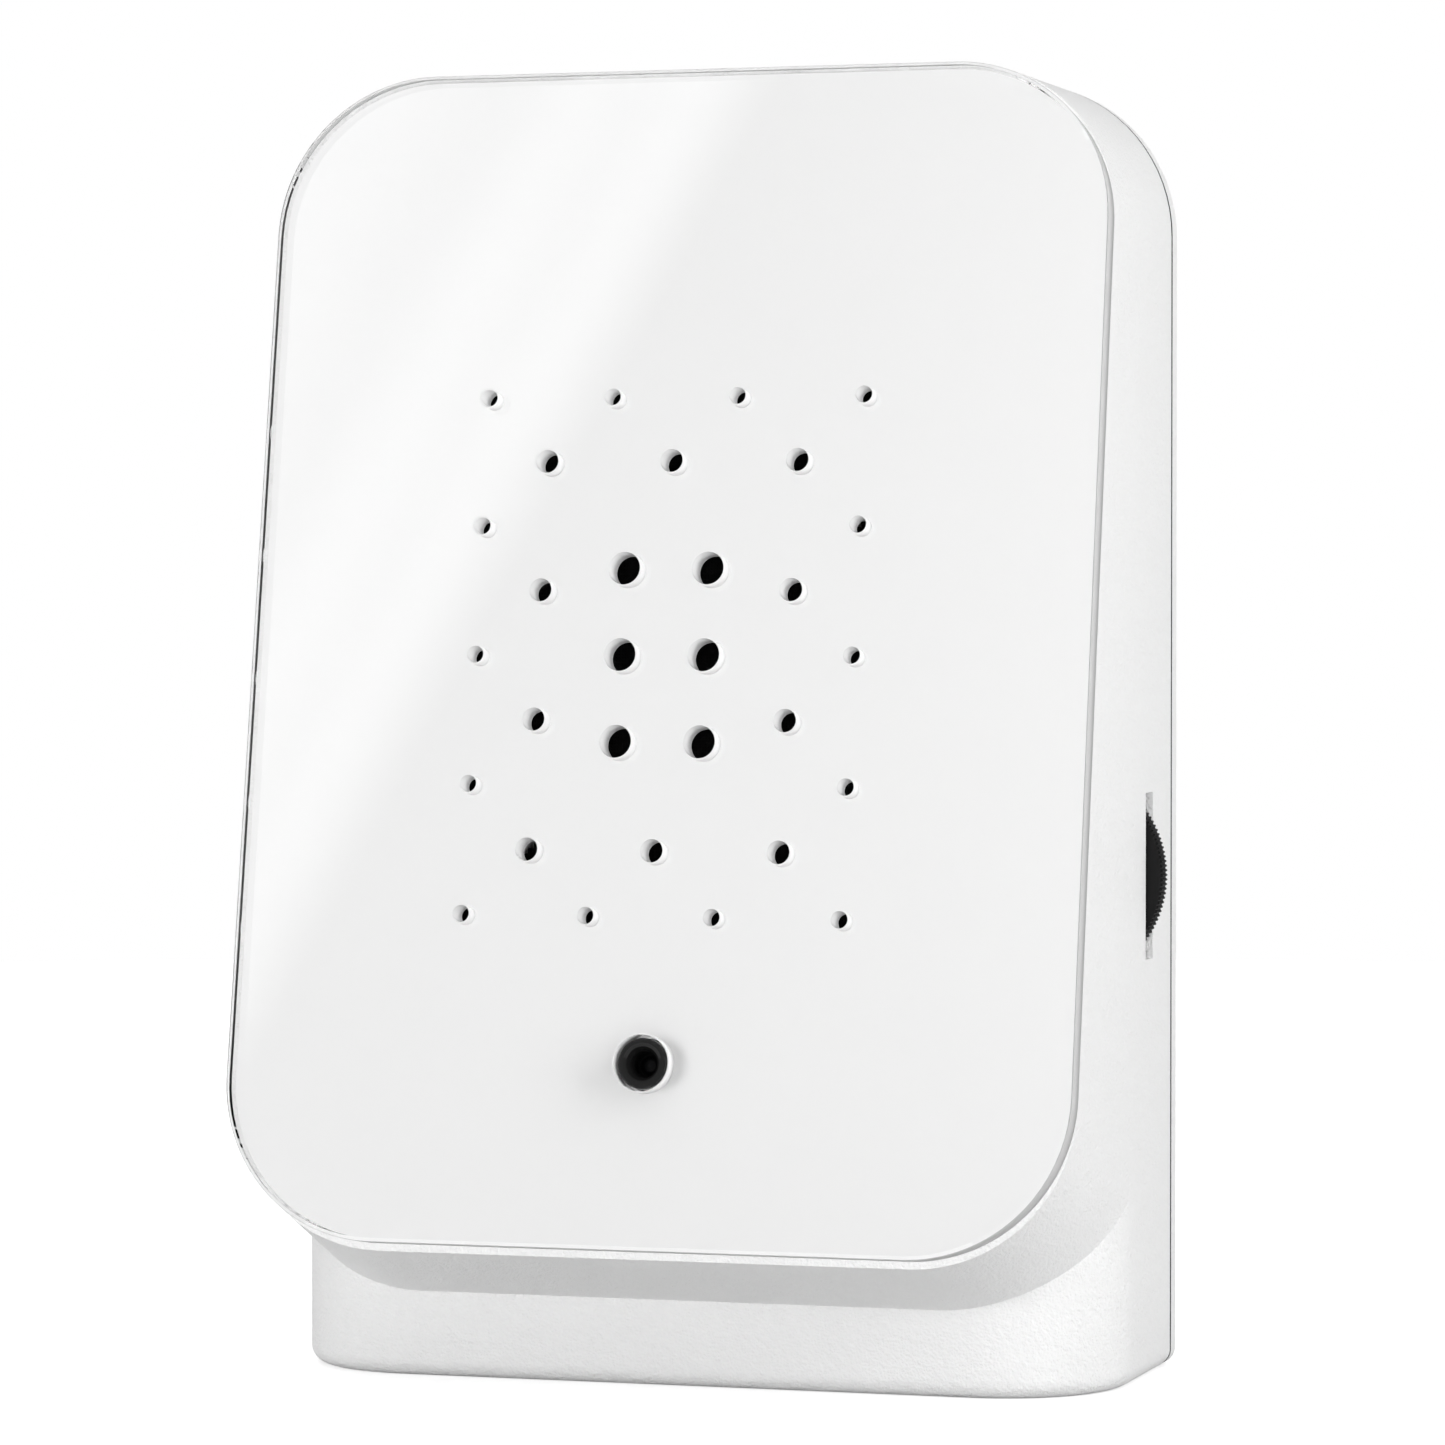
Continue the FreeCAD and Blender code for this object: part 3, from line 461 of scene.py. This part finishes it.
def plate_outline(grow):
    """The plate's rounded rectangle, grow larger all round."""
    half_wide = plate_high.x + grow
    half_long = (plate_high.z - plate_low.z - PLATE_T * math.sin(TILT)) / math.cos(TILT) / 2 + grow
    r = PLATE_CORNER_R + grow
    steps = 32
    points = []
    for quarter, (side, end) in enumerate(((1, 1), (-1, 1), (-1, -1), (1, -1))):
        for step in range(steps + 1):
            turn = math.pi / 2 * (quarter + step / steps)
            points.append((side * (half_wide - r) + r * math.cos(turn),
                           end * (half_long - r) + r * math.sin(turn)))
    return points


def lay_ink(name, made, stuff):
    """Turns finished walls into a piece that casts no shadow and that diffuse rays don't see."""
    bmesh.ops.recalc_face_normals(made, faces=made.faces)
    mesh = bpy.data.meshes.new(name)
    made.to_mesh(mesh)
    made.free()
    piece = finish_piece(name, mesh, "casing", "white_print", "plate_print")
    paint(piece, stuff)
    piece.visible_shadow = False
    piece.visible_diffuse = False


def white_walls():
    """White ink up the walls of the plate's holes and grey ink round its outer edge, as thin as paint. The
    edge's grey is painted shade.
    """
    clear, thick = 0.02 * MM, 0.08 * MM
    hole_front, hole_back = 0.22 * MM, PLATE_T + 0.02 * MM
    edge_front, edge_back = 0.45 * MM, PLATE_T - 0.03 * MM
    made = bmesh.new()
    for x, up, radius in grille_holes():
        inner = circle(x, up, radius + clear)
        outer = circle(x, up, radius + clear + thick)
        add_wall(made, inner, outer, hole_front, hole_back)
    lay_ink("hole_walls", made, "hole_ink")
    made = bmesh.new()
    add_wall(made, plate_outline(clear), plate_outline(clear + thick), edge_front, edge_back)
    # the edge wall's grey ink is painted shade
    lay_ink("edge_wall", made, "edge_ink_painted_shade")


def lathe_y(rings, centre, count, wobble):
    """A closed mesh turned about Y. rings are (radius, y); wobble(ring, step) is added to a radius."""
    made = bmesh.new()
    loops = []
    for index, (radius, y) in enumerate(rings):
        loop = []
        for step in range(count):
            angle = 2 * math.pi * step / count
            r = radius + wobble(index, step)
            loop.append(made.verts.new((centre.x + r * math.cos(angle), y, centre.z + r * math.sin(angle))))
        loops.append(loop)
    for first, second in zip(loops, loops[1:] + loops[:1]):
        for step in range(count):
            after = (step + 1) % count
            made.faces.new((first[step], first[after], second[after], second[step]))
    bmesh.ops.recalc_face_normals(made, faces=made.faces)
    mesh = bpy.data.meshes.new("lathe")
    made.to_mesh(mesh)
    made.free()
    return mesh


def thumbwheel():
    """The wheel with a fine straight knurl on its rim and a dished front."""
    low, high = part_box("volume_wheel")
    centre = (low + high) / 2
    radius = (high.x - low.x) / 2
    y0, y1 = low.y, high.y
    bore, hub, rim = 3.0 * MM, 5.0 * MM, 2.2 * MM
    dish, slope = 0.5 * MM, 0.3 * MM
    bevel = 0.25 * MM
    teeth, tooth = 150, 0.22 * MM
    steps_per_tooth = 4
    rings = [
        (radius - bevel, y0), (radius, y0 + bevel), (radius, y1 - bevel), (radius - bevel, y1),
        (bore, y1), (bore, y0), (hub, y0), (hub + slope, y0 + dish),
        (radius - rim - slope, y0 + dish), (radius - rim, y0),
    ]

    def knurl(ring, step):
        on_rim = ring in (1, 2)
        in_gap = step % steps_per_tooth >= steps_per_tooth / 2
        return -tooth if on_rim and in_gap else 0.0

    mesh = lathe_y(rings, centre, teeth * steps_per_tooth, knurl)
    finish_piece("thumbwheel", mesh, "wheel", "wheel_black", "volume_wheel")


def screen_cloth():
    """Black acoustic cloth, stretched flat behind the grille and cut out for the speaker's posts."""
    wide, long = 56 * MM, 70 * MM
    depth, weave = 5.65 * MM, 0.03 * MM        # behind the plate's face, and how far the threads rise
    post, hole = 19.5 * MM, 4.0 * MM           # the posts' places each way, and the holes' radius
    columns, rows = 84, 105
    made = bmesh.new()
    grid = []
    for row in range(rows + 1):
        line = []
        for column in range(columns + 1):
            x = wide * (column / columns - 0.5)
            up = long * (row / rows - 0.5)
            lift = weave if (row + column) % 2 else -weave
            line.append(made.verts.new(face_point(x, up + GRILLE_SHIFT, depth + lift)))
        grid.append(line)
    for row in range(rows):
        for column in range(columns):
            x = wide * ((column + 0.5) / columns - 0.5)
            up = long * ((row + 0.5) / rows - 0.5)
            if math.hypot(abs(x) - post, abs(up) - post) > hole:
                made.faces.new((grid[row][column], grid[row][column + 1],
                                grid[row + 1][column + 1], grid[row + 1][column]))
    loose = [v for v in made.verts if not v.link_faces]
    bmesh.ops.delete(made, geom=loose, context="VERTS")
    mesh = bpy.data.meshes.new("screen_cloth")
    made.to_mesh(mesh)
    made.free()
    piece = finish_piece("screen_cloth", mesh, "casing", "screen_black", "dust_screen")


def coil_springs():
    """The three cone springs that press on the cells' flat ends."""
    wire_r, foot_r, tip_r = 0.35 * MM, 4.2 * MM, 2.3 * MM
    tip_x = 24.6 * MM                          # the middle of a spring's last turn, from the cell's middle
    turns, per_turn = 4, 12
    count = turns * per_turn + 1
    low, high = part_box("battery_springs")
    for index in range(3):
        cell_low, cell_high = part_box("battery_cell_%d" % (index + 1))
        middle = (cell_low + cell_high) / 2
        side = -1 if index % 2 == 0 else 1
        wall = low.x if side < 0 else high.x
        tip = side * tip_x
        curve = bpy.data.curves.new("spring", "CURVE")
        curve.dimensions = "3D"
        curve.bevel_depth = wire_r
        curve.bevel_resolution = 3
        spline = curve.splines.new("NURBS")
        spline.points.add(count - 1)
        for step in range(count):
            share = step / (count - 1)
            angle = 2 * math.pi * step / per_turn
            r = foot_r + (tip_r - foot_r) * share
            x = wall + (tip - wall) * share
            spline.points[step].co = (x, middle.y + r * math.cos(angle), middle.z + r * math.sin(angle), 1)
        spline.order_u = 3
        spline.use_endpoint_u = True
        piece = bpy.data.objects.new("cell_spring_%d" % (index + 1), curve)
        scene.collection.objects.link(piece)
        curve.materials.append(made_of["tin"])
        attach(piece, "casing")
        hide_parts("battery_springs")


def floor():
    """A round white floor. What the camera sees of it is lifted to clean white."""
    camera_glow = 0.62
    made = bmesh.new()
    bmesh.ops.create_circle(made, cap_ends=True, segments=96, radius=0.8)
    mesh = bpy.data.meshes.new("floor")
    made.to_mesh(mesh)
    made.free()
    piece = bpy.data.objects.new("floor", mesh)
    scene.collection.objects.link(piece)
    material, tree, place, output = blank("floor_white")
    fleck = noise(tree, place, 5 * MM, 2.0)
    grey = ramp(tree, fleck, (0.6, 0.6, 0.6), (0.61, 0.61, 0.61))
    paper = add(tree, "ShaderNodeBsdfDiffuse", {"Color": grey})
    path = add(tree, "ShaderNodeLightPath")
    lift = add(tree, "ShaderNodeMapRange", {"Value": path.outputs["Is Camera Ray"], "To Max": camera_glow})
    glow = add(tree, "ShaderNodeEmission", {"Strength": lift.outputs["Result"]})
    both = add(tree, "ShaderNodeAddShader", {0: paper.outputs[0], 1: glow.outputs[0]})
    tree.links.new(both.outputs[0], output)
    piece.data.materials.append(material)


reflected_window()
print_layer()
white_walls()
thumbwheel()
screen_cloth()
coil_springs()
floor()
